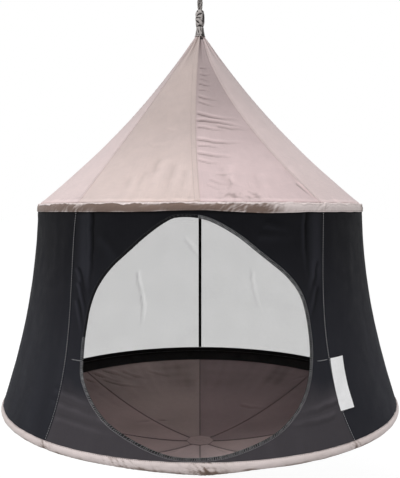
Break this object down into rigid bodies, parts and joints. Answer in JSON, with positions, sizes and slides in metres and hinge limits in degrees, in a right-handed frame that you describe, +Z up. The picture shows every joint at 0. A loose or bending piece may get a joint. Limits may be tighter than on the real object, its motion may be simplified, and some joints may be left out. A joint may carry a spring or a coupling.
{
  "type": "hanging cocoon tent",
  "caption": "Hanging cocoon tent: a cone roof over a flared cloth wall on two hoops, with a round doorway, net rear windows, a sagging floor, and a rope loop on a steel snap hook.",
  "frame": {"origin": "the inside of the snap hook's top, where the ceiling hook or branch line bears", "axes": "+Z up, the doorway faces -Y, +X to the right of someone who looks in through the doorway"},
  "size_m": [1.4968, 1.4968, 1.836],
  "materials": {
    "hook_steel": "zinc plated",
    "rope": "twisted cord, grey and beige",
    "roof_cloth": "beige woven polyester",
    "hoop_tube": "powder coated tube",
    "spigot_steel": "plain rod",
    "wall_cloth": "black woven polyester",
    "window_net": "fine see-through net",
    "webbing": "black webbing and binding",
    "label_cloth": "blank white satin tag",
    "floor_cloth": "brown-grey coated polyester"
  },
  "bodies": {
    "hook": {"carabiner_body": "hook_steel", "carabiner_pin": "hook_steel"},
    "gate": {"carabiner_gate": "hook_steel"},
    "canopy": {"hanging_rope_loop": "rope", "rope_cover": "roof_cloth", "neck_cuff": "roof_cloth", "roof_panel_rear_left": "roof_cloth", "roof_panel_side_rear_left": "roof_cloth", "roof_panel_side_front_left": "roof_cloth", "roof_panel_front_left": "roof_cloth", "roof_panel_front_right": "roof_cloth", "roof_panel_side_front_right": "roof_cloth", "roof_panel_side_rear_right": "roof_cloth", "roof_panel_rear_right": "roof_cloth"},
    "upper_hoop": {"upper_hoop_sleeve": "roof_cloth", "upper_hoop_tube_1": "hoop_tube", "upper_hoop_tube_2": "hoop_tube", "upper_hoop_tube_3": "hoop_tube", "upper_hoop_spigot_1": "spigot_steel", "upper_hoop_spigot_2": "spigot_steel", "upper_hoop_spigot_3": "spigot_steel", "door_panel": "wall_cloth", "wall_panel_side_front_left": "wall_cloth", "wall_panel_side_front_right": "wall_cloth", "wall_panel_side_rear_left": "wall_cloth", "wall_panel_side_rear_right": "wall_cloth", "rear_window_left": "window_net", "rear_window_right": "window_net", "wall_strap_front_left": "webbing", "wall_strap_front_right": "webbing", "wall_strap_side_left": "webbing", "wall_strap_side_right": "webbing", "wall_strap_rear_left": "webbing", "wall_strap_rear_right": "webbing", "wall_strap_rear_centre": "webbing", "door_binding": "webbing", "side_label": "label_cloth"},
    "lower_hoop": {"lower_hoop_sleeve": "roof_cloth", "lower_hoop_tube_1": "hoop_tube", "lower_hoop_tube_2": "hoop_tube", "lower_hoop_tube_3": "hoop_tube", "lower_hoop_tube_4": "hoop_tube", "lower_hoop_spigot_1": "spigot_steel", "lower_hoop_spigot_2": "spigot_steel", "lower_hoop_spigot_3": "spigot_steel", "lower_hoop_spigot_4": "spigot_steel", "floor_edge_band": "wall_cloth", "floor_panel_rear_left": "floor_cloth", "floor_panel_side_rear_left": "floor_cloth", "floor_panel_side_front_left": "floor_cloth", "floor_panel_front_left": "floor_cloth", "floor_panel_front_right": "floor_cloth", "floor_panel_side_front_right": "floor_cloth", "floor_panel_side_rear_right": "floor_cloth", "floor_panel_rear_right": "floor_cloth", "floor_centre_patch": "floor_cloth"}
  },
  "joints": [
    {"name": "gate_hinge", "type": "hinge", "parent": "hook", "child": "gate", "pos_m": [0.016, 0, -0.05], "axis": [0, -1, 0], "range_deg": [0, 28], "stiffness_Nm_per_rad": 0.2, "springref_deg": -17.19},
    {"name": "tent_swing", "type": "hinge", "parent": "hook", "child": "canopy", "pos_m": [0, 0, -0.068], "axis": [1, 0, 0], "range_deg": [-40, 40]},
    {"name": "roof_fold", "type": "slide", "parent": "canopy", "child": "upper_hoop", "axis": [0, 0, 1], "range_m": [0, 0.56], "deforming": ["roof_panel_rear_left", "roof_panel_side_rear_left", "roof_panel_side_front_left", "roof_panel_front_left", "roof_panel_front_right", "roof_panel_side_front_right", "roof_panel_side_rear_right", "roof_panel_rear_right"]},
    {"name": "wall_fold", "type": "slide", "parent": "upper_hoop", "child": "lower_hoop", "axis": [0, 0, 1], "range_m": [0, 0.665], "deforming": ["door_panel", "wall_panel_side_front_left", "wall_panel_side_front_right", "wall_panel_side_rear_left", "wall_panel_side_rear_right", "rear_window_left", "rear_window_right", "wall_strap_front_left", "wall_strap_front_right", "wall_strap_side_left", "wall_strap_side_right", "wall_strap_rear_left", "wall_strap_rear_right", "wall_strap_rear_centre", "door_binding", "side_label"]}
  ]
}
